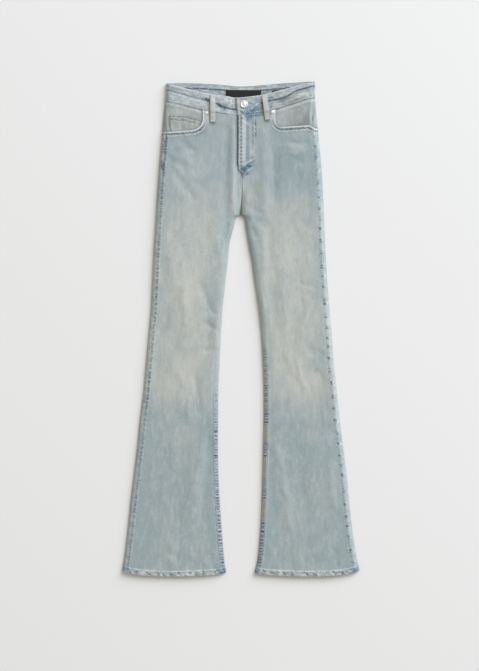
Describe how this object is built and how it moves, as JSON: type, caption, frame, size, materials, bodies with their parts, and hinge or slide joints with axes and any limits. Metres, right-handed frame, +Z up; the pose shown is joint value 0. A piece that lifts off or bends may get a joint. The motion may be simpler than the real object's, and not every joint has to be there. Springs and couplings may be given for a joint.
{
  "type": "flared jeans",
  "caption": "Faded five-pocket jeans with flared legs, laid flat front up, with a closed fly and button, belt loops, scooped front pockets and topstitched hems.",
  "frame": {"origin": "under the middle of the garment's outline, on the surface it lies on", "axes": "+Y along the legs towards the waist, +X towards the wearer's left leg, +Z up off the surface, out of the front"},
  "size_m": [0.5228, 1.09, 0.0184],
  "materials": {
    "denim": "washed stretch denim twill, faded blue-grey, matt",
    "facing": "washed denim twill, greyer and less faded, matt",
    "label": "bare black woven satin tape",
    "thread": "pale tonal topstitching thread",
    "metal": "bright silver metal, slightly worn",
    "zip": "metal zip on grey-blue tape"
  },
  "bodies": {
    "root": {"front_left": "denim", "front_right": "denim", "back_left": "denim", "back_right": "denim", "yoke_left": "denim", "yoke_right": "denim", "waistband_front_left": "denim", "waistband_front_right": "denim", "waistband_back": "denim", "belt_loop_front_left": "denim", "belt_loop_front_right": "denim", "belt_loop_back_left": "denim", "belt_loop_back_centre": "denim", "belt_loop_back_right": "denim", "pocket_facing_left": "facing", "pocket_facing_right": "facing", "coin_pocket": "denim", "back_pocket_left": "denim", "back_pocket_right": "denim", "zip": "zip", "button": "metal", "rivet_left": "metal", "rivet_right": "metal", "label_main": "label", "label_side": "label"}
  },
  "joints": []
}
